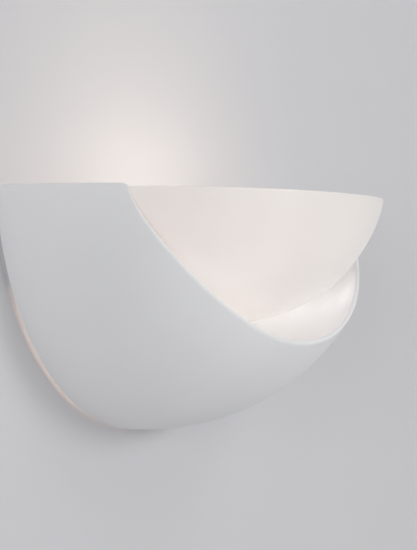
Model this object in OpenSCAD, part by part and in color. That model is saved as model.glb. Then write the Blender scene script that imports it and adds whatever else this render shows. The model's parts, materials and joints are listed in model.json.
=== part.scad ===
/* [Outer shell] */
// Width of the shell along the wall
shell_w = 360; // [320:2:400]
// How far the shell reaches from its rear edge
shell_d = 160.8; // [140:0.2:176]
// Height of the shell from rim to lowest point
shell_h = 162; // [150:1:170]
// Sheet thickness of the shell
shell_t = 2.4; // [2:0.1:2.8]
// Gap between the wall and the rear edge of the shell
wall_gap = 3; // [3:0.1:4]
// Half the width of the scoop where it meets the rim
scoop_x = 160; // [150:1:168]
// Depth of the scoop below the rim at the middle
scoop_h = 100.7; // [96:0.1:110]

/* [Glass bowl] */
// Clearance between the outside of the shell and the outside of the glass at the rim
glass_inset = 3; // [2.9:0.1:3.6]
// Height of the glass from rim to lowest point
glass_h = 90.5; // [88:0.5:91]
// Glass thickness
glass_t = 3.5; // [3:0.1:3.8]
// How far the glass rim sits below the shell rim
glass_drop = 1.7; // [1.5:0.1:2]

/* [Lamp] */
// Length of the double-ended lamp over its caps
lamp_l = 117.6; // [117.4:0.1:117.8]
// Radius of the lamp tube
lamp_r = 5; // [4:0.1:5.5]
// Distance of the lamp axis from the wall
lamp_y = 64; // [60:1:68]

/* [Wall plate] */
// Thickness of the wall plate
plate_t = 2; // [1.5:0.1:2]
// Distance between the two fixing slots
slot_pitch = 120; // [116:1:124]
// Width of a fixing slot
slot_w = 5.2; // [4.6:0.1:5.4]
// Length of a fixing slot, end to end
slot_l = 14; // [10:0.5:15]
// Diameter of the cable hole in the grommet
cable_d = 8; // [6:0.1:9]

/* [Hidden] */
$fn = 64;

rim_z = 52;              // the rim plane above the middle of the fixing slots
plan_n = 2.2;            // roundness of the plan outline
shell_e = 2.15;          // roundness of the shell's side profile
shell_m = 1.83;
glass_e = 3.36;          // the glass has steeper flanks and a flatter floor
glass_m = 1.43;
scoop_q = 1.62;          // roundness of the scoop
glass_back = 4;          // rear plane of the glass, from the shell's rear edge
lamp_z = 18;
corner_r = 4;
stud_x = 106;
stud_z = 6;
hole_z = -12;            // height of the cable hole
block_x = 39;            // middle of the terminal block
block_z0 = -21;
block_z1 = -6;
pole_pitch = 11;
arm_x = 71;              // inner faces of the lamp bracket's arms
face_x = 53;             // inner faces of the lampholders
tab_y0 = plate_t + 0.1;
tab_t = 1.5;

// ---- half-bowl surfaces ----
// a half bowl is |x/a|^n + |y/p|^n = s^n with s^e + |z/h|^m = 1
function plan_r(u) = pow(pow(abs(cos(u)), plan_n) + pow(abs(sin(u)), plan_n), -1 / plan_n);
function level_s(z, h, e, m) = pow(max(0, 1 - pow(min(1, abs(z) / h), m)), 1 / e);
function level_z(s, h, e, m) = -h * pow(max(0, 1 - pow(min(1, s), e)), 1 / m);
// b moves the rear edge forward by b and leaves the front where it is
function bowl_pt(a, p, s, z, u, b = 0) = let (v = p * s * plan_r(u) * sin(u)) [a * s * plan_r(u) * cos(u), -sqrt(b * b + v * v), z];
function plan_angle(x, a, s) = let (k = min(1, abs(x) / (a * s))) atan2(pow(max(0, 1 - pow(k, plan_n)), 1 / plan_n), sign(x) * k);
function floor_z(x, y, a, p, h, e, m) = level_z(pow(pow(abs(x / a), plan_n) + pow(abs(y / p), plan_n), 1 / plan_n), h, e, m);

// the scoop's edge, seen from the front, at angle b from -90 to 90
function scoop_pt(b) = [scoop_x * sin(b), -scoop_h * pow(max(0, cos(b)), 2 / scoop_q)];

// the tops of a bowl's columns as [plan angle, height]: full height at the sides, a small round, and the scoop's edge between
function edge_x(z) = scoop_x * pow(max(0, 1 - pow(abs(z) / scoop_h, scoop_q)), 1 / 2);
function scoop_tops(a, h, e, m, sides, mids) =
    let (r = corner_r,
         c = plan_angle(edge_x(-r) + r / 2, a, 1),
         b0 = acos(pow(r / scoop_h, scoop_q / 2)),
         one = concat([for (i = [0 : sides - 1]) [c * i / sides, 0]],
                      [for (i = [0 : 3]) let (z = r * cos(i * 22.5) - r) [plan_angle(edge_x(-r) + r * (1 - sin(i * 22.5)) / 2, a, level_s(z, h, e, m)), z]]))
    concat(one,
           [for (i = [0 : mids]) let (q = scoop_pt(b0 - 2 * b0 * i / mids), s = level_s(q[1], h, e, m)) [plan_angle(q[0], a, s), q[1]]],
           [for (i = [len(one) - 1 : -1 : 0]) [180 - one[i][0], one[i][1]]]);
function plain_tops(cols) = [for (i = [0 : cols]) [180 * i / cols, 0]];

function column(a, p, h, e, m, top, rows, ease, b) =
    let (t0 = asin(pow(abs(top[1]) / h, m / 2)))
    [for (j = [0 : rows - 1]) let (t = 90 - (90 - t0) * pow(1 - j / rows, ease))
        bowl_pt(a, p, pow(cos(t), 2 / e), -h * pow(sin(t), 2 / m), top[0], b)];

module half_bowl(a, p, h, e, m, t, tops_out, tops_in, rows, ease, b = 0) {
    n = len(tops_out);
    out = [for (k = tops_out) each column(a, p, h, e, m, k, rows, ease, b)];
    inn = [for (k = tops_in) each column(a - t, p - t, h - t, e, m, k, rows, ease, b)];
    pts = concat(out, [[0, -b, -h]], inn, [[0, -b, -(h - t)]]);
    po = n * rows;
    pi = 2 * n * rows + 1;
    function O(i, j) = j == rows ? po : i * rows + j;
    function I(i, j) = j == rows ? pi : po + 1 + i * rows + j;
    faces = concat(
        [for (i = [0 : n - 2], j = [0 : rows - 2]) each [[O(i, j), O(i + 1, j + 1), O(i + 1, j)], [O(i, j), O(i, j + 1), O(i + 1, j + 1)]]],
        [for (i = [0 : n - 2]) [O(i, rows - 1), po, O(i + 1, rows - 1)]],
        [for (i = [0 : n - 2], j = [0 : rows - 2]) each [[I(i, j), I(i + 1, j), I(i + 1, j + 1)], [I(i, j), I(i + 1, j + 1), I(i, j + 1)]]],
        [for (i = [0 : n - 2]) [I(i, rows - 1), I(i + 1, rows - 1), pi]],
        [for (i = [0 : n - 2]) each [[O(i, 0), I(i + 1, 0), I(i, 0)], [O(i, 0), O(i + 1, 0), I(i + 1, 0)]]],
        [for (j = [0 : rows - 1]) each [[O(0, j), I(0, j + 1), O(0, j + 1)], [O(0, j), I(0, j), I(0, j + 1)]]],
        [for (j = [0 : rows - 1]) each [[O(n - 1, j), O(n - 1, j + 1), I(n - 1, j + 1)], [O(n - 1, j), I(n - 1, j + 1), I(n - 1, j)]]]);
    polyhedron(points = pts, faces = faces, convexity = 6);
}

// ---- small helpers ----
module rod_x(x0, x1, r) { translate([x0, 0, 0]) rotate([0, 90, 0]) cylinder(h = x1 - x0, r = r); }
module rod_y(y0, y1, r) { translate([0, -y0, 0]) rotate([90, 0, 0]) cylinder(h = y1 - y0, r = r); }   // y0, y1 are distances from the wall
module box(x0, x1, y0, y1, z0, z1) { translate([x0, -y1, z0]) cube([x1 - x0, y1 - y0, z1 - z0]); }
module both() { children(); mirror([1, 0, 0]) children(); }
module slot_y(y0, y1, l, w) {
    rod_at(-(l - w) / 2, 0) rod_y(y0, y1, w / 2);
    rod_at((l - w) / 2, 0) rod_y(y0, y1, w / 2);
    box(-(l - w) / 2, (l - w) / 2, y0, y1, -w / 2, w / 2);
}
module rod_at(x, z) { translate([x, 0, z]) children(); }
module plate_shape(x0, x1, z0, z1, r) {
    difference() {
        translate([x0, z0]) square([x1 - x0, z1 - z0]);
        for (k = [[x0, z0, 1, 1], [x1, z0, -1, 1], [x0, z1, 1, -1], [x1, z1, -1, -1]])
            translate([k[0], k[1]]) difference() {
                translate([k[2] > 0 ? 0 : -r, k[3] > 0 ? 0 : -r]) square(r);
                translate([k[2] * r, k[3] * r]) circle(r);
            }
    }
}
// a flat sheet parallel to the wall, its outline given in x and z
module sheet_y(y0, y1) { translate([0, -y0, 0]) rotate([90, 0, 0]) linear_extrude(y1 - y0) children(); }

function unit(v) = v / norm(v);
function spline(p, k) = [for (i = [0 : len(p) - 2], j = [0 : k - 1])
    let (t = j / k, a = p[max(0, i - 1)], b = p[i], c = p[i + 1], d = p[min(len(p) - 1, i + 2)])
    0.5 * (2 * b + (c - a) * t + (2 * a - 5 * b + 4 * c - d) * t * t + (3 * b - a - 3 * c + d) * t * t * t)];
// the cross-section's frame, carried along the path without twist
function along(q, i) = unit(q[min(len(q) - 1, i + 1)] - q[max(0, i - 1)]);
function carry(q, u, i = 0) = i == len(q) ? [] :
    let (d = along(q, i), v = unit(u - (u * d) * d)) concat([[v, cross(d, v)]], carry(q, v, i + 1));
module wire(p, r, k = 4, sides = 8) {
    q = concat(spline(p, k), [p[len(p) - 1]]);
    n = len(q);
    f = carry(q, [0, 1, 0.1]);
    ring = [for (i = [0 : n - 1], a = [0 : sides - 1]) q[i] + r * (f[i][0] * cos(360 * a / sides) + f[i][1] * sin(360 * a / sides))];
    faces = concat([[for (a = [0 : sides - 1]) a]],
        [for (i = [0 : n - 2], a = [0 : sides - 1]) let (b = (a + 1) % sides) each [[i * sides + a, (i + 1) * sides + b, i * sides + b], [i * sides + a, (i + 1) * sides + a, (i + 1) * sides + b]]],
        [[for (a = [sides - 1 : -1 : 0]) (n - 1) * sides + a]]);
    polyhedron(points = ring, faces = faces, convexity = 4);
}

// ---- shade ----
module outer_shell() {
    color([0.86, 0.86, 0.87]) translate([0, -wall_gap, rim_z])
        half_bowl(shell_w / 2, shell_d, shell_h, shell_e, shell_m, shell_t,
                  scoop_tops(shell_w / 2, shell_h, shell_e, shell_m, 8, 44),
                  scoop_tops(shell_w / 2 - shell_t, shell_h - shell_t, shell_e, shell_m, 8, 44), 20, 1.05);
}

glass_a = shell_w / 2 - glass_inset;
glass_p = shell_d - glass_inset;
module glass_bowl() {
    color([0.97, 0.93, 0.9]) translate([0, -wall_gap, rim_z - glass_drop])
        half_bowl(glass_a, glass_p, glass_h, glass_e, glass_m, glass_t, plain_tops(44), plain_tops(44), 20, 1.6, glass_back);
}

// inner face of the shell at the wall, at a height below the rim
function inner_x(z) = (shell_w / 2 - shell_t) * level_s(z - rim_z, shell_h - shell_t, shell_e, shell_m);
tab_low = -12;
tab_high = 44;
module shell_tab() {
    difference() {
        union() {
            sheet_y(tab_y0, tab_y0 + tab_t)
                polygon(concat([[stud_x - 7, stud_z - 6], [stud_x + 14, stud_z - 6], [stud_x + 26, tab_low]],
                               [for (z = [tab_low : 7 : tab_high]) [inner_x(z), z]],
                               [[stud_x + 40, tab_high], [stud_x + 4, stud_z + 12], [stud_x - 4, stud_z + 12], [stud_x - 7, stud_z + 9]]));
            sheet_y(tab_y0, 16)
                polygon(concat([for (z = [tab_low : 6 : 24]) [inner_x(z) - 0.25, z]], [for (z = [24 : -6 : tab_low]) [inner_x(z) - 1.5, z]]));
        }
        translate([stud_x, 0, stud_z]) rod_y(0, 8, 2.3);
        box(stud_x - 2.3, stud_x + 2.3, 0, 8, stud_z - 7, stud_z);
        translate([stud_x + 34, 0, 22]) rod_y(0, 8, 6);
    }
}
module shell_tabs() { color([0.72, 0.73, 0.75]) both() shell_tab(); }

arm_top = rim_z - 95;
foot_z = rim_z - shell_h + shell_t + 0.9;
module glass_cradle() {
    color([0.72, 0.73, 0.75]) difference() {
        union() {
            box(-12, 12, wall_gap + 0.1, wall_gap + 1.6, foot_z, arm_top);
            box(-12, 12, wall_gap + 0.1, 20, foot_z, foot_z + 1.5);
            box(-10, 10, wall_gap + 0.1, 80, arm_top - 1.5, arm_top);
            box(-50, 50, 13, 27, arm_top - 1.5, arm_top);
        }
        for (z = [-88 : 16 : -56]) translate([0, 0, z]) rod_y(0, 8, 4);
        for (y = [38 : 12 : 62]) translate([0, -y, arm_top - 3]) cylinder(h = 6, r = 3.5);
    }
}
function glass_floor(x, y) = rim_z - glass_drop + floor_z(x, sqrt(max(0, pow(y - wall_gap, 2) - pow(glass_back, 2))), glass_a, glass_p, glass_h, glass_e, glass_m);
// a round pad standing on the cradle, its top cut to lie along the underside of the glass
module pad(x, y, r) {
    z = glass_floor(x, y);
    sx = (glass_floor(x + 3, y) - glass_floor(x - 3, y)) / 6;
    sy = (glass_floor(x, y + 3) - glass_floor(x, y - 3)) / 6;
    intersection() {
        translate([x, -y, arm_top]) cylinder(h = z - arm_top + 4, r = r);
        translate([x, -y, z - 0.05]) rotate([-atan(sy), -atan(sx), 0]) translate([-20, -20, -40]) cube([40, 40, 40]);
    }
}
module cradle_pads() {
    color([0.8, 0.8, 0.8]) {
        for (x = [-43, 43]) pad(x, 20, 5);
        pad(0, 75, 4);
    }
}

// a thin silicone pad between shell and glass, from plan angle u0 to u1 and height z0 to z1 below the rim
module rim_pad(u0, u1, z0, z1) {
    function A(u, z) = bowl_pt(shell_w / 2 - shell_t, shell_d - shell_t, level_s(z, shell_h - shell_t, shell_e, shell_m), z, u) + [0, -wall_gap, rim_z];
    function B(u, z) = bowl_pt(glass_a, glass_p, level_s(z + glass_drop, glass_h, glass_e, glass_m), z, u, glass_back) + [0, -wall_gap, rim_z];
    n = 4;
    us = [for (i = [0 : n]) u0 + (u1 - u0) * i / n];
    pts = concat([for (u = us) each [A(u, z0), A(u, z1)]], [for (u = us) each [B(u, z0), B(u, z1)]]);
    k = 2 * (n + 1);
    faces = concat(
        [for (i = [0 : n - 1]) let (b = 2 * i) each [[b, b + 2, b + 1], [b + 1, b + 2, b + 3], [k + b, k + b + 1, k + b + 2], [k + b + 1, k + b + 3, k + b + 2],
                                      [b, k + b, b + 2], [k + b, k + b + 2, b + 2], [b + 1, b + 3, k + b + 1], [b + 3, k + b + 3, k + b + 1]]],
        [[0, 1, k], [1, k + 1, k], [2 * n, k + 2 * n, 2 * n + 1], [2 * n + 1, k + 2 * n, k + 2 * n + 1]]);
    polyhedron(points = pts, faces = faces);
}
module rim_pads() {
    color([0.85, 0.85, 0.85]) both() {
        rim_pad(5, 9, -14, -6);
        rim_pad(20.5, 24.5, -14, -6);
    }
}

module wall_bumpers() {
    color([0.9, 0.9, 0.9]) {
        both() translate([150, 0, 8]) rod_y(0, tab_y0, 4);
        translate([0, 0, foot_z + 9]) rod_y(0, wall_gap + 0.1, 4);
    }
}

// ---- wall plate and what it carries ----
module wall_plate() {
    color([0.8, 0.81, 0.82]) difference() {
        sheet_y(0, plate_t) union() {
            plate_shape(-96, 96, -28, 36, 8);
            plate_shape(-118, 118, -8, 20, 6);
        }
        for (x = [-slot_pitch / 2, slot_pitch / 2]) translate([x, 0, 0]) slot_y(-1, plate_t + 1, slot_l, slot_w);
        translate([0, 0, hole_z]) rod_y(-1, plate_t + 1, cable_d / 2 + 1.5);
        for (x = [-stud_x, stud_x]) translate([x, 0, stud_z]) rod_y(-1, plate_t + 1, 2);
        for (x = [-36, 36]) translate([x, 0, lamp_z]) rod_y(-1, plate_t + 1, 2);
        translate([-28, 0, hole_z]) rod_y(-1, plate_t + 1, 2);
    }
}
module plate_studs() { color([0.75, 0.75, 0.77]) both() translate([stud_x, 0, stud_z]) rod_y(0, 13, 2); }
washer_y = tab_y0 + tab_t + 0.15;
module stud_washers() {
    color([0.95, 0.95, 0.95]) both() translate([stud_x, 0, stud_z]) difference() {
        rod_y(washer_y, washer_y + 0.5, 5);
        rod_y(washer_y - 1, washer_y + 1, 2.05);
    }
}
nut_y = washer_y + 0.65;
module thumb_nut() {
    difference() {
        union() {
            rod_y(nut_y, nut_y + 8, 4.5);
            rod_y(nut_y + 3, nut_y + 8, 6);
        }
        rod_y(nut_y - 1, nut_y + 9, 2.05);
        for (a = [0 : 18 : 342]) rotate([0, a, 0]) translate([6.15, 0, 0]) rod_y(nut_y + 2.5, nut_y + 8.5, 0.5);
    }
}
module thumb_nut_left() { color([0.8, 0.8, 0.82]) translate([-stud_x, 0, stud_z]) thumb_nut(); }
module thumb_nut_right() { color([0.8, 0.8, 0.82]) translate([stud_x, 0, stud_z]) thumb_nut(); }

module cable_grommet() {
    color([0.2, 0.2, 0.2]) translate([0, 0, hole_z]) difference() {
        union() {
            rod_y(0, plate_t, cable_d / 2 + 1.5);
            rod_y(plate_t, plate_t + 2.4, cable_d / 2 + 3.2);
        }
        rod_y(-1, plate_t + 4, cable_d / 2);
    }
}

module poles() { for (i = [-1 : 1]) translate([block_x + i * pole_pitch, 0, 0]) children(); }
module terminal_block() {
    color([0.93, 0.93, 0.91]) difference() {
        box(block_x - 18, block_x + 18, plate_t, 17, block_z0, block_z1);
        poles() {
            translate([0, -9, block_z0 - 1]) cylinder(h = 5, r = 1.5);
            translate([0, -9, block_z1 - 4]) cylinder(h = 5, r = 1.5);
            box(-3.2, 3.2, 5, 12.4, block_z0 + 3, block_z1 - 3);
            box(-2.7, 2.7, 14, 18, -15.7, -11.3);
        }
        for (k = [-1, 1]) translate([block_x + k * 16.2, 0, block_z0 - 1]) translate([0, -10, 0]) cylinder(h = 20, r = 0.8);
    }
}
module terminal_contacts() {
    color([0.8, 0.65, 0.3]) poles() difference() {
        box(-3, 3, 5.2, 12.2, block_z0 + 3.2, block_z1 - 3.2);
        translate([0, -9, block_z0]) cylinder(h = 20, r = 1.45);
    }
}
module release_button(i) {
    color([0.55, 0.57, 0.6]) translate([block_x + (i - 2) * pole_pitch, 0, 0]) difference() {
        box(-2.5, 2.5, 15.2, 18.2, -15.5, -11.5);
        for (z = [-14.5, -13.5, -12.5]) box(-1.8, 1.8, 18, 19, z - 0.2, z + 0.2);
    }
}
module release_button_1() { release_button(1); }
module release_button_2() { release_button(2); }
module release_button_3() { release_button(3); }

module pan_screw(y_seat, y_tip, r, head_r, head_h) {
    difference() {
        union() {
            rod_y(y_tip, y_seat, r);
            rod_y(y_seat, y_seat + head_h, head_r);
        }
        box(-head_r * 0.62, head_r * 0.62, y_seat + head_h - 1.2, y_seat + head_h + 1, -0.5, 0.5);
        box(-0.5, 0.5, y_seat + head_h - 1.2, y_seat + head_h + 1, -head_r * 0.62, head_r * 0.62);
    }
}
module earth_screw() { color([0.8, 0.68, 0.35]) translate([-28, 0, hole_z]) pan_screw(plate_t + 1.6, 0.3, 1.95, 3.75, 2.6); }
module earth_washer() {
    color([0.75, 0.75, 0.77]) translate([-28, 0, hole_z]) difference() {
        rod_y(plate_t, plate_t + 0.8, 4.2);
        rod_y(0, plate_t + 2, 2);
        for (a = [0 : 30 : 330]) rotate([0, a, 0]) translate([4.4, 0, 0]) rod_y(0, plate_t + 2, 0.5);
    }
}
module earth_tag() {
    color([0.82, 0.82, 0.84]) translate([-28, 0, hole_z]) difference() {
        union() {
            rod_y(plate_t + 0.8, plate_t + 1.6, 3.9);
            box(-1.5, 1.5, plate_t + 0.8, plate_t + 1.6, 0, 6);
            translate([0, -(plate_t + 2.4), 5]) cylinder(h = 6, r = 1.7);
        }
        rod_y(0, plate_t + 4, 2);
        translate([0, -(plate_t + 2.4), 6]) cylinder(h = 6, r = 1.3);
    }
}

// the wires' routes, as [x, y, z] in millimetres
live_path = [[28, -9, -9.5], [28, -9, -3], [22, -9, 3], [0, -8, 4.5], [-40, -8, 4.5], [-62, -9, 4.5], [-66, -18, 4.5], [-66, -40, 4.5], [-65, -50, 9], [-63, -53, 13.5], [-63, -56.5, 14]];
neutral_path = [[39, -9, -9.5], [39, -9, -2], [44, -9, 3], [58, -10, 4.5], [66, -18, 4.5], [66, -40, 4.5], [65, -50, 9], [63, -53, 13.5], [63, -56.5, 14]];
earth_path = [[50, -9, -9.5], [50, -9, -4], [49, -11.5, -0.5], [43, -13, 1], [28, -13, 1.5], [0, -12, 1.5], [-18, -9, 2], [-25.5, -6, 2.5], [-28, -4.4, 0], [-28, -4.4, -3], [-28, -4.4, -5.6]];
module live_wire() { color([0.45, 0.25, 0.15]) wire(live_path, 1.1); }
module neutral_wire() { color([0.2, 0.35, 0.65]) wire(neutral_path, 1.1); }
module earth_wire() { color([0.35, 0.6, 0.2]) wire(earth_path, 1.1); }

// ---- lamp carrier ----
module lamp_bracket() {
    color([0.78, 0.79, 0.8]) difference() {
        union() {
            box(-arm_x - 1.5, arm_x + 1.5, plate_t, plate_t + 1.5, lamp_z - 10, lamp_z + 10);
            both() box(arm_x, arm_x + 1.5, plate_t, lamp_y + 10, lamp_z - 10, lamp_z + 10);
        }
        for (x = [-36, 36]) translate([x, 0, lamp_z]) rod_y(0, 8, 2.1);
        both() for (z = [-5, 5]) translate([0, -lamp_y - 1, lamp_z + z]) rod_x(arm_x - 1, arm_x + 3, 1.55);
        both() for (y = [18, 32]) translate([0, -y, lamp_z]) rod_x(arm_x - 1, arm_x + 3, 5);
    }
}
foot_y = plate_t + 1.5;
module bracket_screws() { color([0.75, 0.75, 0.78]) for (x = [-36, 36]) translate([x, 0, lamp_z]) pan_screw(foot_y + 1, 0.3, 1.95, 3.75, 2.4); }
module reflector() {
    color([0.9, 0.9, 0.92]) {
        translate([-51, -lamp_y, lamp_z]) rotate([90, 0, 90]) linear_extrude(102) intersection() {
            difference() { circle(r = 25); circle(r = 24); }
            polygon([[0, 0], [40 * cos(-70), 40 * sin(-70)], [60, -30], [60, 25], [40 * cos(40), 40 * sin(40)]]);
        }
        both() difference() {
            union() {
                box(29.5, 30.5, foot_y, lamp_y - 24.3, lamp_z - 6, lamp_z + 6);
                box(29.5, 42, foot_y, foot_y + 1, lamp_z - 6, lamp_z + 6);
            }
            translate([36, 0, lamp_z]) rod_y(0, 8, 2.1);
        }
    }
}
// ceramic block with a socket open towards the room; depth is how far the socket goes in
module holder(depth) {
    difference() {
        box(face_x, arm_x, lamp_y - 9, lamp_y + 9, lamp_z - 9, lamp_z + 9);
        translate([0, -lamp_y, lamp_z]) rod_x(face_x - 1, face_x + depth, 4.7);
        box(face_x - 1, face_x + depth, lamp_y, lamp_y + 10, lamp_z - 4.7, lamp_z + 4.7);
        for (z = [-5, 5]) translate([0, -lamp_y - 1, lamp_z + z]) rod_x(arm_x - 6, arm_x + 1, 1.5);
        translate([63, -(lamp_y - 9) + 1, lamp_z - 4]) rotate([90, 0, 0]) cylinder(h = 4, r = 1.4);
        children();
    }
}
module holder_left() {
    color([0.95, 0.94, 0.9]) mirror([1, 0, 0]) holder(6.2)
        translate([0, -lamp_y, lamp_z]) rod_x(58, 66.2, 1.7);
}
module holder_right() {
    color([0.95, 0.94, 0.9]) holder(10.3)
        translate([0, -lamp_y, lamp_z]) { rod_x(62, 66, 1.8); rod_x(64.4, 70.4, 3); }
}
module holder_screws() {
    color([0.75, 0.75, 0.78]) both() for (z = [-5, 5]) translate([0, -lamp_y - 1, lamp_z + z]) {
        rod_x(arm_x - 5, arm_x + 1.5, 1.45);
        difference() {
            rod_x(arm_x + 1.5, arm_x + 3.3, 2.7);
            box(arm_x + 2.5, arm_x + 4, -1.8, 1.8, -0.4, 0.4);
        }
    }
}
end_x = lamp_l / 2;
module contact_fixed() {
    color([0.85, 0.72, 0.4]) translate([0, -lamp_y, lamp_z]) {
        rod_x(-66, -(end_x - 1.65) - 0.6, 1.65);
        translate([-(end_x - 1.65) - 0.6, 0, 0]) rotate([0, 90, 0]) cylinder(h = 0.55, r1 = 1.65, r2 = 1);
    }
}
module contact_plunger() {
    color([0.85, 0.72, 0.4]) translate([0, -lamp_y, lamp_z]) {
        rod_x(end_x - 1.05, 66, 1.74);
        translate([end_x - 1.05 - 0.55, 0, 0]) rotate([0, 90, 0]) cylinder(h = 0.55, r1 = 1, r2 = 1.74);
        rod_x(64.7, 66.4, 2.7);
    }
}
module lamp_tube() {
    color([0.85, 0.9, 0.92]) translate([0, -lamp_y, lamp_z]) {
        difference() {
            union() {
                rod_x(-42, 42, lamp_r);
                for (x = [-42, 42]) translate([x, 0, 0]) sphere(r = lamp_r);
            }
            rod_x(-42, 42, lamp_r - 0.8);
            for (x = [-42, 42]) translate([x, 0, 0]) sphere(r = lamp_r - 0.8);
        }
        both() box(46.4, 53.5, -1.2, 1.2, -3.2, 3.2);
    }
}
module lamp_caps() {
    color([0.93, 0.92, 0.88]) translate([0, -lamp_y, lamp_z]) both() difference() {
        union() {
            rod_x(50, end_x, 4.2);
            rod_x(49, 52, 3.9);
        }
        rod_x(end_x - 1.65, end_x + 1, 2);
        box(48, 53.6, -1.25, 1.25, -3.25, 3.25);
    }
}
module lamp_filament() {
    color([1, 0.85, 0.6]) translate([0, -lamp_y, lamp_z]) {
        rod_x(-36, 36, 0.8);
        rod_x(-41.5, 41.5, 0.25);
        for (x = [-24 : 16 : 24]) translate([x, 0, 0]) rotate([0, 90, 0]) rotate_extrude() translate([3.9, 0]) circle(r = 0.2, $fn = 16);
        for (x = [-24 : 16 : 24]) translate([x, 0, 0]) cylinder(h = 3.9, r = 0.2, $fn = 16);
    }
}

outer_shell();
shell_tabs();
glass_bowl();
glass_cradle();
cradle_pads();
rim_pads();
wall_bumpers();
wall_plate();
plate_studs();
stud_washers();
thumb_nut_left();
thumb_nut_right();
cable_grommet();
terminal_block();
terminal_contacts();
release_button_1();
release_button_2();
release_button_3();
earth_screw();
earth_washer();
earth_tag();
live_wire();
neutral_wire();
earth_wire();
lamp_bracket();
bracket_screws();
reflector();
holder_left();
holder_right();
holder_screws();
contact_fixed();
contact_plunger();
lamp_tube();
lamp_caps();
lamp_filament();
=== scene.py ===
import json
import math

import bpy
import numpy as np
from mathutils import Matrix, Vector


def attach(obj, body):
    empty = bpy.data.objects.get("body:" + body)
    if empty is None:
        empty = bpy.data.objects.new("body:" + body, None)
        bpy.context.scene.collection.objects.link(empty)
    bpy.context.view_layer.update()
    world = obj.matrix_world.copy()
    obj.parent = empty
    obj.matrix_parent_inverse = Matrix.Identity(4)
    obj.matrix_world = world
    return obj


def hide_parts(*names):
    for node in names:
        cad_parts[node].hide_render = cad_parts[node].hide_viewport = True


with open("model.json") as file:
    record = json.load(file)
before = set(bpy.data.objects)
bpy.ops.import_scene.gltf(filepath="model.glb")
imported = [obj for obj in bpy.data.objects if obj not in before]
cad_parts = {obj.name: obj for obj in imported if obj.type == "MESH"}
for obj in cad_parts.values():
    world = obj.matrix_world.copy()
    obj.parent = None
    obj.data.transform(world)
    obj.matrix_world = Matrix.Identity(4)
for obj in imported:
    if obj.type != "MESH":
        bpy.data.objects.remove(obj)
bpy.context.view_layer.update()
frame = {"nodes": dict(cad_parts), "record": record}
NODES = frame["nodes"]
sc = bpy.context.scene
for ob in NODES.values():
    ob.data.materials.clear()
for m in list(bpy.data.materials):
    bpy.data.materials.remove(m)

# ---------------------------------------------------------------- camera
cam_data = bpy.data.cameras.new("camera")
cam = bpy.data.objects.new("camera", cam_data)
sc.collection.objects.link(cam)
cam.location = (-1.0661, -0.6352, -0.0061)
cam.rotation_mode = "QUATERNION"
cam.rotation_quaternion = Vector((0.8774, 0.4798, 0.0)).to_track_quat("-Z", "Y")
cam_data.sensor_width = 36.0
cam_data.lens = 116.0
cam_data.shift_y = 0.0085
cam_data.clip_start = 0.01
cam_data.clip_end = 50.0
sc.camera = cam

# ---------------------------------------------------------------- sizes, in metres, as the CAD has them
RIM = 0.052
GAP = 0.003
PLAN_N = 2.2
SHELL = dict(a=0.180, p=0.1608, h=0.162, e=2.15, m=1.83, t=0.0024)
GLASS = dict(a=0.177, p=0.15779, h=0.0905, e=3.36, m=1.43, t=0.0035)
GLASS_DROP = 0.0017
GLASS_BACK = 0.004
SCOOP_X, SCOOP_H, SCOOP_Q = 0.160, 0.0998, 1.58
CORNER_R = 0.004
LAMP_Y, LAMP_Z = -0.064, 0.018
GLASS_GLOW = 0.30


# ---------------------------------------------------------------- half bowls
def plan_r(u):
    return (abs(math.cos(u)) ** PLAN_N + abs(math.sin(u)) ** PLAN_N) ** (-1.0 / PLAN_N)


def level_s(z, b):
    return max(0.0, 1.0 - min(1.0, abs(z) / b["h"]) ** b["m"]) ** (1.0 / b["e"])


def bowl_pt(b, s, z, u, back):
    v = b["p"] * s * plan_r(u) * math.sin(u)
    return np.array([b["a"] * s * plan_r(u) * math.cos(u), -math.hypot(back, v), z])


def plan_angle(x, a, s):
    k = min(1.0, abs(x) / (a * s))
    return math.atan2(max(0.0, 1.0 - k**PLAN_N) ** (1.0 / PLAN_N), math.copysign(k, x))


def edge_x(z):
    return SCOOP_X * math.sqrt(max(0.0, 1.0 - (abs(z) / SCOOP_H) ** SCOOP_Q))


def inset(b):
    return dict(b, a=b["a"] - b["t"], p=b["p"] - b["t"], h=b["h"] - b["t"])


def scoop_tops(b, sides, corner, mids):
    """(plan angle, height) of every column's top, from one end of the rim over the scoop to the other."""
    r = CORNER_R
    x0 = edge_x(-r)
    c = plan_angle(x0 + r / 2, b["a"], 1.0)
    b0 = math.acos((r / SCOOP_H) ** (SCOOP_Q / 2))
    one = [(c * i / sides, 0.0) for i in range(sides)]
    for i in range(corner):
        w = math.pi / 2 * i / corner
        z = r * math.cos(w) - r
        one.append((plan_angle(x0 + r * (1 - math.sin(w)) / 2, b["a"], level_s(z, b)), z))
    mid = []
    for i in range(mids + 1):
        w = b0 - 2 * b0 * i / mids
        x, z = SCOOP_X * math.sin(w), -SCOOP_H * max(0.0, math.cos(w)) ** (2 / SCOOP_Q)
        mid.append((plan_angle(x, b["a"], level_s(z, b)), z))
    return one + mid + [(math.pi - u, z) for u, z in reversed(one)]


def unit(v):
    return v / max(1e-12, np.linalg.norm(v))


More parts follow.
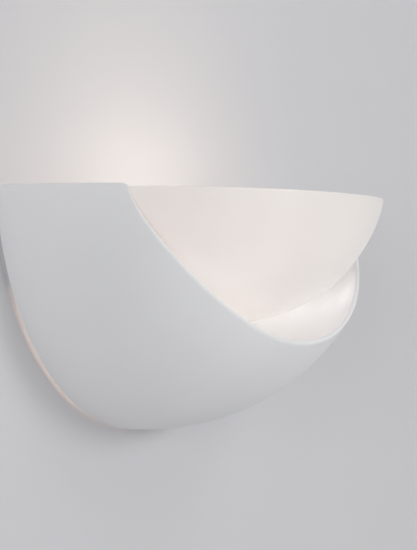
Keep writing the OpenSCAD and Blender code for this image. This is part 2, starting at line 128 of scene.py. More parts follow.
def bowl_skin(name, outer, tops, rows, ease, back, top_round, rear_round, squareness, arc, origin, beyond=0.0):
    """A closed half-bowl sheet with rounded edges: outer and inner face as grids of columns, and an arc all round between them.
    top_round and rear_round are how far the rounding of an edge reaches into the faces; beyond carries the scoop's edge a little further."""
    inner = inset(outer)
    n = len(tops[0])
    faces3 = []
    edges = []
    for b, tp in ((outer, tops[0]), (inner, tops[1])):
        edges.append([bowl_pt(b, level_s(z, b), z, u, back) for u, z in tp])
    # the direction that leads off the sheet at every point of the top edge
    lead = []
    for k in range(n):
        if k in (0, n - 1):
            lead.append(np.array([0.0, 1.0, 1.0]))
            continue
        along = unit(edges[0][k + 1] - edges[0][k - 1])
        across = unit(edges[1][k] - edges[0][k])
        t = unit(np.cross(along, across))
        lead.append(t if t[2] > 0 else -t)
    verts = []
    grid_index = []
    for b, tp, ed in ((outer, tops[0], edges[0]), (inner, tops[1], edges[1])):
        start = len(verts)
        for k in range(n):
            if k in (0, n - 1):
                u, z = tp[k][0], tp[k][1] - top_round
            else:
                q = ed[k] - top_round * lead[k]
                z = min(-1e-6, q[2])
                v = math.sqrt(max(0.0, q[1] ** 2 - back**2))
                u = math.atan2(v / b["p"], q[0] / b["a"])
            t0 = math.asin(min(1.0, (abs(z) / b["h"]) ** (b["m"] / 2)))
            for j in range(rows):
                t = math.pi / 2 - (math.pi / 2 - t0) * (1 - j / rows) ** ease
                s = max(0.0, math.cos(t)) ** (2 / b["e"])
                verts.append(bowl_pt(b, s, -b["h"] * math.sin(t) ** (2 / b["m"]), u, back + rear_round))
        pole = len(verts)
        verts.append(np.array([0.0, -(back + rear_round), -b["h"]]))
        grid_index.append((start, pole))
    for side, (start, pole) in enumerate(grid_index):
        flip = side == 0
        at = lambda i, j: start + i * rows + j
        for i in range(n - 1):
            for j in range(rows - 1):
                f = (at(i, j), at(i + 1, j), at(i + 1, j + 1), at(i, j + 1))
                faces3.append(f[::-1] if flip else f)
            f = (at(i, rows - 1), at(i + 1, rows - 1), pole)
            faces3.append(f[::-1] if flip else f)
    # the loop round the sheet, and its rounding
    rear = np.array([0.0, 1.0, 0.0])
    loop = [(k, 0) for k in range(n)] + [(n - 1, j) for j in range(1, rows)] + [("pole",)] + [(0, j) for j in range(rows - 1, 0, -1)]
    rings = []
    for key in loop:
        if key[0] == "pole":
            o, i_, d, reach = grid_index[0][1], grid_index[1][1], rear, rear_round
        else:
            o = grid_index[0][0] + key[0] * rows + key[1]
            i_ = grid_index[1][0] + key[0] * rows + key[1]
            d, reach = rear, rear_round
            if key[1] == 0:
                d, reach = lead[key[0]], top_round
                reach += beyond * min(1.0, max(0.0, (-tops[0][key[0]][1] - 0.003) / 0.012))
        a, b_ = verts[o], verts[i_]
        ring = [o]
        for w in range(1, arc):
            th = math.pi * w / arc
            c = math.copysign(abs(math.cos(th)) ** squareness, math.cos(th))
            s = math.sin(th) ** squareness
            verts.append((a + b_) / 2 - (b_ - a) / 2 * c + reach * s * d)
            ring.append(len(verts) - 1)
        ring.append(i_)
        rings.append(ring)
    m = len(rings)
    for k in range(m):
        r0, r1 = rings[k], rings[(k + 1) % m]
        for w in range(arc):
            faces3.append((r0[w], r1[w], r1[w + 1], r0[w + 1]))
    me = bpy.data.meshes.new(name)
    me.from_pydata([tuple(v + origin) for v in verts], [], faces3)
    me.update()
    me.polygons.foreach_set("use_smooth", [True] * len(me.polygons))
    ob = bpy.data.objects.new(name, me)
    sc.collection.objects.link(ob)
    return ob


def mesh_object(name, verts, faces, uvs=None):
    me = bpy.data.meshes.new(name)
    me.from_pydata([tuple(v) for v in verts], [], faces)
    if uvs is not None:
        layer = me.uv_layers.new(name="UVMap")
        for poly in me.polygons:
            for k, li in enumerate(poly.loop_indices):
                layer.data[li].uv = uvs[poly.index][k]
    me.update()
    me.polygons.foreach_set("use_smooth", [True] * len(me.polygons))
    ob = bpy.data.objects.new(name, me)
    sc.collection.objects.link(ob)
    return ob


def spline(points, steps):
    p = [np.array(q, float) for q in points]
    out = []
    for i in range(len(p) - 1):
        a, b, c, d = p[max(0, i - 1)], p[i], p[i + 1], p[min(len(p) - 1, i + 2)]
        for j in range(steps):
            t = j / steps
            out.append(0.5 * (2 * b + (c - a) * t + (2 * a - 5 * b + 4 * c - d) * t * t + (3 * b - a - 3 * c + d) * t**3))
    out.append(p[-1])
    return out


def tube(name, path, radius, sides=20):
    """A tube along a path with a frame carried along it without twist; its map runs round and along it."""
    n = len(path)
    u = np.array([0.0, 1.0, 0.1])
    verts, dist = [], [0.0]
    for i in range(n):
        d = unit(path[min(n - 1, i + 1)] - path[max(0, i - 1)])
        v = unit(u - (u @ d) * d)
        w = np.cross(d, v)
        u = v
        if i:
            dist.append(dist[-1] + float(np.linalg.norm(path[i] - path[i - 1])))
        r = radius(i) if callable(radius) else radius
        for k in range(sides):
            a = 2 * math.pi * k / sides
            verts.append(path[i] + r * (v * math.cos(a) + w * math.sin(a)))
    faces, uvs = [], []
    for i in range(n - 1):
        for k in range(sides):
            k2 = (k + 1) % sides
            faces.append((i * sides + k, i * sides + k2, (i + 1) * sides + k2, (i + 1) * sides + k))
            uvs.append([(k / sides, dist[i]), ((k + 1) / sides, dist[i]), ((k + 1) / sides, dist[i + 1]), (k / sides, dist[i + 1])])
    faces.append(tuple(range(sides))[::-1])
    uvs.append([(0, 0)] * sides)
    faces.append(tuple((n - 1) * sides + k for k in range(sides)))
    uvs.append([(0, dist[-1])] * sides)
    return mesh_object(name, verts, faces, uvs)


# ---------------------------------------------------------------- materials
class Mat:
    """A short way to write a node material."""

    def __init__(self, name):
        self.m = bpy.data.materials.new(name)
        self.m.use_nodes = True
        self.nt = self.m.node_tree
        self.nt.nodes.clear()
        self.out = self.nt.nodes.new("ShaderNodeOutputMaterial")
        self.tc = self.nt.nodes.new("ShaderNodeTexCoord")
        self.place = self.tc.outputs["Object"]

    def node(self, kind, attrs=None, **inputs):
        nd = self.nt.nodes.new(kind)
        for k, v in (attrs or {}).items():
            setattr(nd, k, v)
        for k, v in inputs.items():
            self.put(nd.inputs[k.replace("_", " ")], v)
        return nd

    def put(self, socket, v):
        if isinstance(v, bpy.types.NodeSocket):
            self.nt.links.new(v, socket)
        elif isinstance(v, bpy.types.Node):
            self.nt.links.new(v.outputs[0], socket)
        elif isinstance(v, (tuple, list)) and len(v) == 3 and socket.type == "RGBA":
            socket.default_value = (*v, 1.0)
        else:
            socket.default_value = v

    def noise(self, scale, detail=2.0, rough=0.5, distortion=0.0, stretch=None, place=None):
        src = place or self.place
        if stretch:
            mp = self.node("ShaderNodeMapping")
            self.put(mp.inputs["Vector"], src)
            mp.inputs["Scale"].default_value = stretch
            src = mp.outputs[0]
        nd = self.node("ShaderNodeTexNoise", Scale=scale, Detail=detail, Roughness=rough, Distortion=distortion)
        self.put(nd.inputs["Vector"], src)
        return nd.outputs[0]

    def cells(self, scale, feature="F1", out=0, rnd=1.0):
        nd = self.node("ShaderNodeTexVoronoi", {"feature": feature}, Scale=scale, Randomness=rnd)
        self.put(nd.inputs["Vector"], self.place)
        return nd.outputs[out]

    def ramp(self, value, stops):
        nd = self.nt.nodes.new("ShaderNodeValToRGB")
        el = nd.color_ramp.elements
        while len(el) > len(stops):
            el.remove(el[-1])
        while len(el) < len(stops):
            el.new(0.5)
        for e, (pos, col) in zip(el, stops):
            e.position = pos
            e.color = (*col, 1.0) if isinstance(col, (tuple, list)) else (col, col, col, 1.0)
        self.put(nd.inputs[0], value)
        return nd.outputs[0]

    def span(self, value, lo, hi, a=0.3, b=0.7):
        nd = self.node("ShaderNodeMapRange")
        self.put(nd.inputs["Value"], value)
        nd.inputs["From Min"].default_value = a
        nd.inputs["From Max"].default_value = b
        nd.inputs["To Min"].default_value = lo
        nd.inputs["To Max"].default_value = hi
        return nd.outputs[0]

    def math(self, op, a, b=0.0):
        nd = self.node("ShaderNodeMath", {"operation": op})
        self.put(nd.inputs[0], a)
        self.put(nd.inputs[1], b)
        return nd.outputs[0]

    def mix(self, fac, a, b):
        nd = self.node("ShaderNodeMix", {"data_type": "RGBA"})
        self.put(nd.inputs[0], fac)
        self.put(nd.inputs[6], a)
        self.put(nd.inputs[7], b)
        return nd.outputs[2]

    def bump(self, height, strength, distance, under=None):
        nd = self.node("ShaderNodeBump", Strength=strength, Distance=distance)
        self.put(nd.inputs["Height"], height)
        if under is not None:
            self.put(nd.inputs["Normal"], under)
        return nd.outputs[0]

    def rounded(self, radius):
        return self.node("ShaderNodeBevel", {"samples": 4}, Radius=radius).outputs[0]

    def principled(self, **inputs):
        nd = self.nt.nodes.new("ShaderNodeBsdfPrincipled")
        for k, v in inputs.items():
            self.put(nd.inputs[k.replace("_", " ")], v)
        return nd

    def done(self, shader):
        out = shader.outputs[0] if isinstance(shader, bpy.types.Node) else shader
        self.nt.links.new(out, self.out.inputs["Surface"])
        return self.m


def paint():
    g = Mat("shell_paint")
    drift = g.noise(9.0, 3.0, 0.5)
    fleck = g.noise(900.0, 2.0, 0.6)
    col = g.mix(g.span(drift, 0, 1, 0.35, 0.65), (0.850, 0.850, 0.860), (0.884, 0.884, 0.892))
    col = g.mix(g.span(fleck, 0.0, 0.10, 0.62, 0.80), col, (0.66, 0.66, 0.67))
    rough = g.span(g.noise(60.0, 3.0), 0.50, 0.62)
    peel = g.noise(2600.0, 2.0, 0.55)
    wave = g.noise(240.0, 2.0, 0.5)
    n = g.bump(wave, 0.05, 0.0004)
    n = g.bump(peel, 0.12, 0.00016, n)
    return g.done(g.principled(Base_Color=col, Roughness=rough, Normal=n, Specular_IOR_Level=0.35))


def opal():
    """Opal glass over the lamp: its face, the light that comes through, and a painted glow: emission that stands in for
    the lamp's light scattered in its thickness and for light thrown back onto it from the shell's lit inside.
    """
    g = Mat("opal_glass")
    cloud = g.noise(16.0, 3.0, 0.5)
    fine = g.noise(420.0, 2.0, 0.5)
    seed = g.cells(520.0)
    col = g.mix(g.span(cloud, 0, 1, 0.35, 0.65), (0.86, 0.845, 0.825), (0.90, 0.885, 0.865))
    col = g.mix(g.span(seed, 0.06, 0.0, 0.02, 0.10), col, (0.98, 0.97, 0.95))
    rough = g.span(g.noise(90.0, 3.0), 0.30, 0.38)
    n = g.bump(g.noise(45.0, 2.0), 0.06, 0.0006)
    n = g.bump(fine, 0.10, 0.00012, n)
    # the painted glow is deeper towards the bottom, warmer on the left, and comes out of the outer face and along the
    # top of the rim as a painted bright line
    sep = g.node("ShaderNodeSeparateXYZ")
    g.put(sep.inputs[0], g.place)
    level = g.ramp(g.span(sep.outputs[2], 0.0, 1.0, 0.050, -0.040), [(0.0, 0.56), (0.33, 0.77), (0.55, 0.88), (0.72, 0.86), (1.0, 0.81)])
    hue = g.mix(g.span(sep.outputs[0], 0.0, 1.0, -0.14, 0.03), (1.0, 0.84, 0.83), (0.85, 0.835, 0.88))
    # painted light: a brighter patch low on the left, for light thrown back from the shell's lit inside
    painted_bounce_patch = g.math("MULTIPLY", g.span(sep.outputs[2], 0.0, 1.0, 0.022, -0.010), g.span(sep.outputs[0], 1.0, 0.0, -0.085, -0.020))
    hue = g.mix(painted_bounce_patch, hue, (1.0, 0.94, 0.97))
    hue = g.mix(g.span(cloud, 0.0, 0.10, 0.35, 0.65), hue, (1.0, 0.93, 0.86))
    facing = g.node("ShaderNodeSeparateXYZ")
    g.put(facing.inputs[0], g.node("ShaderNodeNewGeometry").outputs["Normal"])
    # painted light: the outer face glows, and the top of the rim as a painted bright line
    outward_and_painted_rim = g.math("MAXIMUM", g.span(facing.outputs[2], 1.0, 0.0, 0.0, 0.12), g.span(sep.outputs[2], 0.0, 1.0, 0.0478, 0.0492))
    # painted highlight: the glow grows towards the glass's limb
    painted_limb_highlight = g.span(g.node("ShaderNodeLayerWeight", Blend=0.5).outputs["Facing"], 0.0, 0.05, 0.86, 0.97)
    glow = g.mix(g.math("MULTIPLY", g.math("ADD", level, painted_limb_highlight), outward_and_painted_rim), (0.0, 0.0, 0.0), hue)
    body = g.principled(Base_Color=col, Roughness=rough, Normal=n, IOR=1.5, Specular_IOR_Level=0.45, Emission_Color=glow, Emission_Strength=GLASS_GLOW)
    through = g.node("ShaderNodeBsdfTranslucent", Color=g.mix(g.span(cloud, 0, 1, 0.3, 0.7), (0.93, 0.90, 0.87), (0.99, 0.965, 0.93)))
    mixer = g.node("ShaderNodeMixShader", Fac=0.25)
    g.nt.links.new(body.outputs[0], mixer.inputs[1])
    g.nt.links.new(through.outputs[0], mixer.inputs[2])
    return g.done(mixer)


def plated(name, tint, tint2, rough=(0.26, 0.42), radius=0.0002):
    g = Mat(name)
    blush = g.noise(35.0, 3.0, 0.6)
    brushed = g.noise(260.0, 3.0, 0.6, stretch=(0.12, 1.0, 1.0))
    col = g.mix(g.span(blush, 0, 1), tint, tint2)
    spots = g.noise(700.0, 2.0, 0.7)
    col = g.mix(g.span(spots, 0.0, 0.25, 0.62, 0.78), col, (0.30, 0.29, 0.27))
    r = g.span(brushed, *rough)
    n = g.bump(brushed, 0.12, 0.0001, g.rounded(radius))
    return g.done(g.principled(Base_Color=col, Metallic=1.0, Roughness=r, Normal=n))


def galvanised():
    g = Mat("galvanised_sheet")
    spangle = g.node("ShaderNodeTexVoronoi", {"feature": "F1"}, Scale=140.0)
    g.put(spangle.inputs["Vector"], g.node("ShaderNodeMapping", Vector=g.place).outputs[0])
    tone = g.span(spangle.outputs["Color"], 0.0, 1.0, 0.1, 0.9)
    col = g.mix(tone, (0.50, 0.51, 0.52), (0.66, 0.67, 0.68))
    film = g.noise(30.0, 4.0, 0.6)
    col = g.mix(g.span(film, 0.0, 0.45, 0.5, 0.75), col, (0.74, 0.745, 0.75))
    r = g.span(tone, 0.34, 0.52, 0.0, 1.0)
    scratch = g.noise(90.0, 3.0, 0.7, stretch=(0.05, 1.0, 1.0))
    n = g.bump(scratch, 0.1, 0.0001, g.rounded(0.00025))
    return g.done(g.principled(Base_Color=col, Metallic=1.0, Roughness=r, Normal=n))


def plastic(name, light, dark, rough=(0.36, 0.50), radius=0.0003, sss=0.0):
    g = Mat(name)
    flow = g.noise(55.0, 3.0, 0.55, stretch=(1.0, 1.0, 0.4))
    col = g.mix(g.span(flow, 0, 1), dark, light)
    dust = g.noise(650.0, 2.0, 0.6)
    col = g.mix(g.span(dust, 0.0, 0.16, 0.6, 0.8), col, (0.55, 0.54, 0.52))
    n = g.bump(g.noise(3200.0, 2.0), 0.2, 0.00008, g.rounded(radius))
    bs = g.principled(Base_Color=col, Roughness=g.span(flow, *rough), Normal=n)
    if sss:
        bs.inputs["Subsurface Weight"].default_value = sss
        bs.inputs["Subsurface Scale"].default_value = 0.002
    return g.done(bs)


def rubber(name, light, dark):
    g = Mat(name)
    bloom = g.noise(120.0, 3.0, 0.6)
    col = g.mix(g.span(bloom, 0, 1), dark, light)
    n = g.bump(g.noise(1500.0, 3.0), 0.3, 0.0001, g.rounded(0.0003))
    return g.done(g.principled(Base_Color=col, Roughness=g.span(bloom, 0.5, 0.72), Normal=n))


def silicone():
    g = Mat("silicone")
    haze = g.noise(160.0, 3.0, 0.6)
    col = g.mix(g.span(haze, 0, 1), (0.70, 0.70, 0.68), (0.84, 0.84, 0.82))
    n = g.bump(g.noise(1200.0, 2.0), 0.2, 0.0001)
    body = g.principled(Base_Color=col, Roughness=g.span(haze, 0.38, 0.52), Normal=n)
    through = g.node("ShaderNodeBsdfTranslucent", Color=col)
    mixer = g.node("ShaderNodeMixShader", Fac=0.5)
    g.nt.links.new(body.outputs[0], mixer.inputs[1])
    g.nt.links.new(through.outputs[0], mixer.inputs[2])
    return g.done(mixer)


def brass(name, bright, dull, rough=(0.24, 0.44)):
    g = Mat(name)
    tarnish = g.noise(220.0, 4.0, 0.6)
    col = g.mix(g.span(tarnish, 0, 1), bright, dull)
    n = g.bump(g.noise(900.0, 2.0, stretch=(1.0, 0.2, 1.0)), 0.12, 0.00008, g.rounded(0.00015))
    return g.done(g.principled(Base_Color=col, Metallic=1.0, Roughness=g.span(tarnish, *rough), Normal=n))


def insulation(name, col, dark, stripe=None):
    g = Mat(name)
    grain = g.noise(420.0, 3.0, 0.6)
    c = g.mix(g.span(grain, 0, 1), dark, col)
    if stripe:
        sep = g.node("ShaderNodeSeparateXYZ")
        g.nt.links.new(g.tc.outputs["UV"], sep.inputs[0])
        turn = g.math("FRACT", g.math("ADD", sep.outputs[0], g.math("MULTIPLY", sep.outputs[1], 22.0)))
        band = g.math("LESS_THAN", turn, 0.38)
        c = g.mix(band, c, stripe)
    n = g.bump(g.noise(900.0, 2.0), 0.18, 0.0001)
    return g.done(g.principled(Base_Color=c, Roughness=g.span(grain, 0.30, 0.44), Normal=n))


def hammered():
    g = Mat("reflector_metal")
    dimple = g.node("ShaderNodeTexVoronoi", {"feature": "SMOOTH_F1"}, Scale=230.0, Smoothness=0.6, Randomness=0.7)
    g.put(dimple.inputs["Vector"], g.place)
    haze = g.noise(60.0, 3.0)
    col = g.mix(g.span(haze, 0, 1), (0.86, 0.87, 0.88), (0.93, 0.935, 0.94))
    n = g.bump(dimple.outputs[0], 0.55, 0.0006, g.rounded(0.0002))
    return g.done(g.principled(Base_Color=col, Metallic=1.0, Roughness=g.span(haze, 0.16, 0.26), Normal=n))


def steatite(name, light, dark):
    g = Mat(name)
    body = g.noise(70.0, 4.0, 0.6)
    col = g.mix(g.span(body, 0, 1), dark, light)
    speck = g.cells(900.0)
    col = g.mix(g.span(speck, 0.35, 0.0, 0.05, 0.16), col, (0.45, 0.38, 0.30))
    n = g.bump(g.noise(1400.0, 3.0), 0.3, 0.00012, g.rounded(0.0004))
    return g.done(g.principled(Base_Color=col, Roughness=g.span(body, 0.55, 0.75), Normal=n))


def quartz():
    g = Mat("lamp_quartz")
    draw = g.noise(120.0, 2.0, 0.5, stretch=(0.08, 1.0, 1.0))
    n = g.bump(draw, 0.15, 0.0002)
    glass = g.node("ShaderNodeBsdfGlass", IOR=1.46, Normal=n)
    g.put(glass.inputs["Color"], g.mix(g.span(draw, 0, 1), (0.97, 0.98, 0.99), (0.99, 0.99, 0.985)))
    g.put(glass.inputs["Roughness"], g.span(draw, 0.01, 0.05))
    clear = g.node("ShaderNodeBsdfTransparent", Color=(0.96, 0.96, 0.955))
    path = g.node("ShaderNodeLightPath")
    soft = g.math("MAXIMUM", path.outputs["Is Shadow Ray"], path.outputs["Is Diffuse Ray"])
    mixer = g.node("ShaderNodeMixShader", Fac=soft)
    g.nt.links.new(glass.outputs[0], mixer.inputs[1])
    g.nt.links.new(clear.outputs[0], mixer.inputs[2])
    return g.done(mixer)


def glowing():
    g = Mat("filament")
    heat = g.noise(320.0, 2.0)
    col = g.ramp(heat, [(0.3, (1.0, 0.60, 0.28)), (0.7, (1.0, 0.78, 0.50))])
    em = g.node("ShaderNodeEmission", Strength=7.0)
    g.put(em.inputs["Color"], col)
    g.m.cycles.emission_sampling = "NONE"
    return g.done(em)


MATS = {
    "shell_paint": paint(),
    "opal_glass": opal(),
    "zinc_steel": plated("zinc_steel", (0.60, 0.61, 0.64), (0.70, 0.69, 0.66)),
    "galvanised_sheet": galvanised(),
    "nut_plating": plated("nut_plating", (0.74, 0.74, 0.73), (0.66, 0.64, 0.60), (0.18, 0.32), 0.00015),
    "silicone": silicone(),
    "nylon": plastic("nylon", (0.90, 0.89, 0.85), (0.84, 0.83, 0.78)),
    "grommet_rubber": rubber("grommet_rubber", (0.045, 0.045, 0.047), (0.022, 0.022, 0.023)),
    "block_plastic": plastic("block_plastic", (0.86, 0.86, 0.83), (0.80, 0.80, 0.76)),
    "button_plastic": plastic("button_plastic", (0.38, 0.40, 0.43), (0.31, 0.33, 0.36)),
    "contact_brass": brass("contact_brass", (0.82, 0.66, 0.34), (0.66, 0.49, 0.22)),
    "brown_insulation": insulation("brown_insulation", (0.21, 0.085, 0.04), (0.15, 0.055, 0.025)),
    "blue_insulation": insulation("blue_insulation", (0.06, 0.17, 0.50), (0.04, 0.12, 0.38)),
    "green_yellow_insulation": insulation("green_yellow_insulation", (0.10, 0.36, 0.08), (0.07, 0.27, 0.05), (0.82, 0.72, 0.06)),
    "reflector_metal": hammered(),
    "holder_ceramic": steatite("holder_ceramic", (0.87, 0.85, 0.79), (0.80, 0.77, 0.70)),
    "contact_silver": brass("contact_silver", (0.82, 0.80, 0.75), (0.62, 0.57, 0.50), (0.22, 0.38)),
    "lamp_quartz": quartz(),
    "cap_ceramic": steatite("cap_ceramic", (0.88, 0.86, 0.80), (0.78, 0.73, 0.64)),
    "filament": glowing(),
}
for part in frame["record"]["subparts"]:
    ob = NODES[part["node"]]
    ob.data.materials.clear()
    ob.data.materials.append(MATS[part["material_slot"]])


def finish_piece(ob, slot, body, *replaced):
    ob.data.materials.clear()
    ob.data.materials.append(MATS[slot])
    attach(ob, body)
    if replaced:
        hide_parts(*replaced)
    return ob


# ---------------------------------------------------------------- the two bowls
shell = bowl_skin(
    "shell_skin", SHELL, (scoop_tops(SHELL, 34, 8, 180), scoop_tops(inset(SHELL), 34, 8, 180)),
    76, 1.05, 0.0, 0.0012, 0.0008, 0.8, 10, np.array([0.0, -GAP, RIM]), 0.0008,
)
finish_piece(shell, "shell_paint", "shade", "outer_shell")

plain = [(math.pi * i / 220, 0.0) for i in range(221)]
bowl = bowl_skin(
    "glass_skin", GLASS, (plain, plain), 76, 1.5, GLASS_BACK, 0.0005, 0.0012, 0.8, 10,
    np.array([0.0, -GAP, RIM - GLASS_DROP]),
)
finish_piece(bowl, "opal_glass", "shade", "glass_bowl")

# ---------------------------------------------------------------- wires, on the CAD's routes
MM = 0.001
LIVE = [(28, -9, -9.5), (28, -9, -3), (22, -9, 3), (0, -8, 4.5), (-40, -8, 4.5), (-62, -9, 4.5), (-66, -18, 4.5), (-66, -40, 4.5), (-65, -50, 9), (-63, -53, 13.5), (-63, -56.5, 14)]
NEUTRAL = [(39, -9, -9.5), (39, -9, -2), (44, -9, 3), (58, -10, 4.5), (66, -18, 4.5), (66, -40, 4.5), (65, -50, 9), (63, -53, 13.5), (63, -56.5, 14)]
EARTH = [(50, -9, -9.5), (50, -9, -4), (49, -11.5, -0.5), (43, -13, 1), (28, -13, 1.5), (0, -12, 1.5), (-18, -9, 2), (-25.5, -6, 2.5), (-28, -4.4, 0), (-28, -4.4, -3), (-28, -4.4, -5.6)]
for name, pts, slot in (("live_wire", LIVE, "brown_insulation"), ("neutral_wire", NEUTRAL, "blue_insulation"), ("earth_wire", EARTH, "green_yellow_insulation")):
    path = spline([np.array(q) * MM for q in pts], 10)
    finish_piece(tube(name + "_round", path, 0.00108), slot, "wall_frame", name)

# ---------------------------------------------------------------- the lamp's coil
coil = []
turns, half = 60, 0.036
for i in range(turns * 12 + 1):
    a = 2 * math.pi * i / 12
    coil.append(np.array([-half + 2 * half * i / (turns * 12), LAMP_Y + 0.00062 * math.cos(a), LAMP_Z + 0.00062 * math.sin(a)]))
lead_l = [np.array([-0.0413, LAMP_Y, LAMP_Z]), np.array([-0.0385, LAMP_Y, LAMP_Z])]
lead_r = [np.array([0.0385, LAMP_Y, LAMP_Z]), np.array([0.0413, LAMP_Y, LAMP_Z])]
wire = tube("lamp_coil", lead_l + coil + lead_r, 0.00017, 8)
finish_piece(wire, "filament", "lamp")
rings = []
for k, x in enumerate((-0.024, -0.008, 0.008, 0.024)):
    pts = [np.array([x, LAMP_Y + 0.0039 * math.cos(a), LAMP_Z + 0.0039 * math.sin(a)]) for a in (2 * math.pi * i / 40 for i in range(41))]
    pts += [np.array([x, LAMP_Y, LAMP_Z + 0.0039 * (1 - f)]) + np.array([0, 0.0039 * (1 - f), -0.0039 * (1 - f)]) for f in (0.25, 0.5, 0.8)]
    ob = tube("coil_support_%d" % (k + 1), pts, 0.00018, 8)
    finish_piece(ob, "contact_silver", "lamp")
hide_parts("lamp_filament")


# ---------------------------------------------------------------- wall and floor, not part of the object
def stage_plane(name, corners, mat):
    ob = mesh_object(name, corners, [(0, 1, 2, 3)])
    ob.data.materials.append(mat)
    return ob


def wall_paint():
    g = Mat("wall_paint")
    drift = g.noise(1.4, 3.0, 0.5)
    col = g.mix(g.span(drift, 0, 1, 0.35, 0.65), (0.734, 0.731, 0.755), (0.759, 0.756, 0.779))
    n = g.bump(g.noise(420.0, 3.0, 0.6), 0.08, 0.0004)
    front = g.principled(Base_Color=col, Roughness=0.85, Normal=n, Specular_IOR_Level=0.15)
    away = g.node("ShaderNodeBsdfTransparent")
    geo = g.node("ShaderNodeNewGeometry")
    mixer = g.node("ShaderNodeMixShader", Fac=geo.outputs["Backfacing"])
    g.nt.links.new(front.outputs[0], mixer.inputs[1])
    g.nt.links.new(away.outputs[0], mixer.inputs[2])
    return g.done(mixer)


def floor_paint():
    g = Mat("floor_paint")
    drift = g.noise(2.2, 4.0, 0.55)
    col = g.mix(g.span(drift, 0, 1), (0.60, 0.60, 0.60), (0.66, 0.66, 0.655))
    n = g.bump(g.noise(300.0, 3.0, 0.6), 0.08, 0.0004)
    return g.done(g.principled(Base_Color=col, Roughness=0.7, Normal=n, Specular_IOR_Level=0.2))


WALL_Y = 0.0003
wall = stage_plane("backdrop_wall", [(-2.4, WALL_Y, -1.1), (2.4, WALL_Y, -1.1), (2.4, WALL_Y, 1.6), (-2.4, WALL_Y, 1.6)], wall_paint())
floor = stage_plane("floor", [(-2.4, -3.2, -1.1), (2.4, -3.2, -1.1), (2.4, WALL_Y, -1.1), (-2.4, WALL_Y, -1.1)], floor_paint())

# ---------------------------------------------------------------- light
world = bpy.data.worlds.new("studio")
sc.world = world
world.use_nodes = True
bg = world.node_tree.nodes["Background"]
bg.inputs["Color"].default_value = (0.98, 0.99, 1.0, 1.0)
bg.inputs["Strength"].default_value = 0.230


def area(name, place, aim, size, watts, colour=(1, 1, 1)):
    ld = bpy.data.lights.new(name, "AREA")
    ld.shape = "RECTANGLE"
    ld.size, ld.size_y = size
    ld.energy = watts
    ld.color = colour
    ob = bpy.data.objects.new(name, ld)
    sc.collection.objects.link(ob)
    ob.location = place
    ob.rotation_mode = "QUATERNION"
    ob.rotation_quaternion = (Vector(aim) - Vector(place)).to_track_quat("-Z", "Y")
    ob.visible_camera = False
    return ob


def bulb(name, place, radius, watts, colour):
    ld = bpy.data.lights.new(name, "POINT")
    ld.shadow_soft_size = radius
    ld.energy = watts
    ld.color = colour
    ob = bpy.data.objects.new(name, ld)
    sc.collection.objects.link(ob)
    ob.location = place
    ob.visible_camera = False
    ob.visible_glossy = False
    ob.visible_transmission = False
    return ob


WARM = (1.0, 0.80, 0.62)
GLOW = (1.0, 0.84, 0.69)
LEAK = (1.0, 0.44, 0.02)
COOL = (1.0, 0.978, 0.935)
area("key", (0.3, -3.2, 0.4), (0, -0.05, 0.0), (2.4, 2.4), 16.5)
area("key_right", (1.2, -3.0, 0.7), (0, -0.05, -0.02), (1.0, 1.0), 20.5)
area("left", (-4.2, -4.2, 0.9), (0, -0.05, -0.05), (2.0, 2.0), 9.0)
area("side", (-6.0, -1.5, 0.5), (0, -0.05, -0.05), (2.0, 2.0), 92.0)
area("top", (0.0, -3.4, 3.4), (0, -0.05, -0.05), (2.0, 2.0), 26.0)
fill_low = area("fill_low", (1.6, -2.6, -0.9), (0, -0.05, -0.05), (1.2, 0.5), 14.5)
for k, x in enumerate((-0.027, -0.009, 0.009, 0.027)):
    bulb("lamp_light_%d" % (k + 1), (x, LAMP_Y, LAMP_Z), 0.002, 0.0004, WARM)
for k, x in enumerate((-0.053, -0.023, 0.007, 0.037)):
    bulb("bowl_glow_%d" % (k + 1), (x, -0.100, 0.042), 0.009, 0.0395, GLOW)


def under(x, y, clear):
    """A place under the glass, clear of its underside."""
    v = math.sqrt((y + GAP) ** 2 - GLASS_BACK**2)
    s = ((abs(x) / GLASS["a"]) ** PLAN_N + (v / GLASS["p"]) ** PLAN_N) ** (1 / PLAN_N)
    return (x, y, RIM - GLASS_DROP - GLASS["h"] * (1 - s ** GLASS["e"]) ** (1 / GLASS["m"]) - clear)


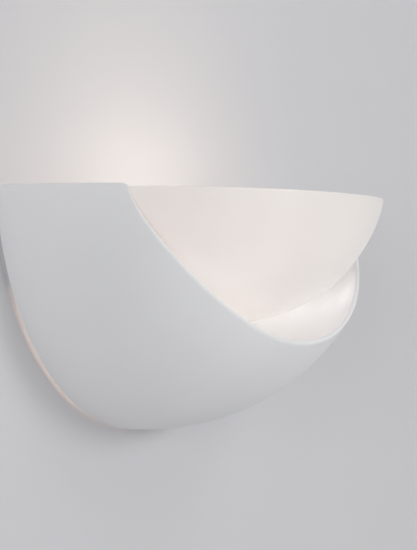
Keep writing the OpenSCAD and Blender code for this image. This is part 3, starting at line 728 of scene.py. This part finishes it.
# what the glass sends down into the hollow of the shell
hollow = [bulb("hollow_mid", under(0.020, -0.040, 0.018), 0.008, 0.0800, COOL)]
for k, (x, y, clear, watts) in enumerate((
    (0.131, -0.014, 0.011, 0.0033),
    (0.132, -0.030, 0.011, 0.0022),
    (0.131, -0.050, 0.011, 0.0022),
    (0.124, -0.072, 0.011, 0.0017),
    (0.114, -0.092, 0.010, 0.0016),
)):
    hollow.append(bulb("hollow_right_%d" % (k + 1), under(x, y, clear), 0.005, watts, COOL))
    hollow.append(bulb("hollow_left_%d" % (k + 1), under(-x, y, clear), 0.005, watts, COOL))
# and what gets out through the gap at the wall
leak = []
for k, (x, y, clear, watts) in enumerate(((0.125, -0.050, 0.026, 0.0074), (0.090, -0.060, 0.034, 0.0155), (0.045, -0.060, 0.044, 0.0110))):
    leak.append(bulb("leak_right_%d" % (k + 1), under(x, y, clear), 0.012, watts, LEAK))
    leak.append(bulb("leak_left_%d" % (k + 1), under(-x, y, clear), 0.012, watts, LEAK))


def apart(name, things):
    """A collection that leaves the named things out."""
    c = bpy.data.collections.new(name)
    for k, ob in enumerate(things):
        c.objects.link(ob)
        c.collection_objects[k].light_linking.link_state = "EXCLUDE"
    return c


on_wall = bpy.data.collections.new("wall_only")
on_wall.objects.link(wall)
not_glass_or_wall = apart("not_the_glass_or_wall", [bowl, wall])
for ob in hollow:
    ob.light_linking.receiver_collection = not_glass_or_wall
for ob in leak:
    ob.light_linking.receiver_collection = on_wall
fill_low.light_linking.receiver_collection = apart("shell_only", [wall, floor, bowl])

# a light behind the wall for the views from behind: it reaches only the metalwork at the back, and the wall doesn't stop it
rear = area("rear_light", (0.5, 2.0, 0.8), (0, 0, -0.03), (1.6, 1.2), 30.0)
back_only = bpy.data.collections.new("seen_from_behind")
for name, ob in NODES.items():
    if not ob.hide_render and name not in ("rim_pads", "cradle_pads"):
        back_only.objects.link(ob)
rear.light_linking.receiver_collection = back_only
rear.light_linking.blocker_collection = apart("not_the_wall", [wall])

# ---------------------------------------------------------------- colour
sc.display_settings.display_device = "sRGB"
sc.view_settings.view_transform = "Standard"
sc.view_settings.look = "None"
sc.view_settings.exposure = 0.0
sc.view_settings.gamma = 1.0

# ---------------------------------------------------------------- end
bpy.context.view_layer.update()
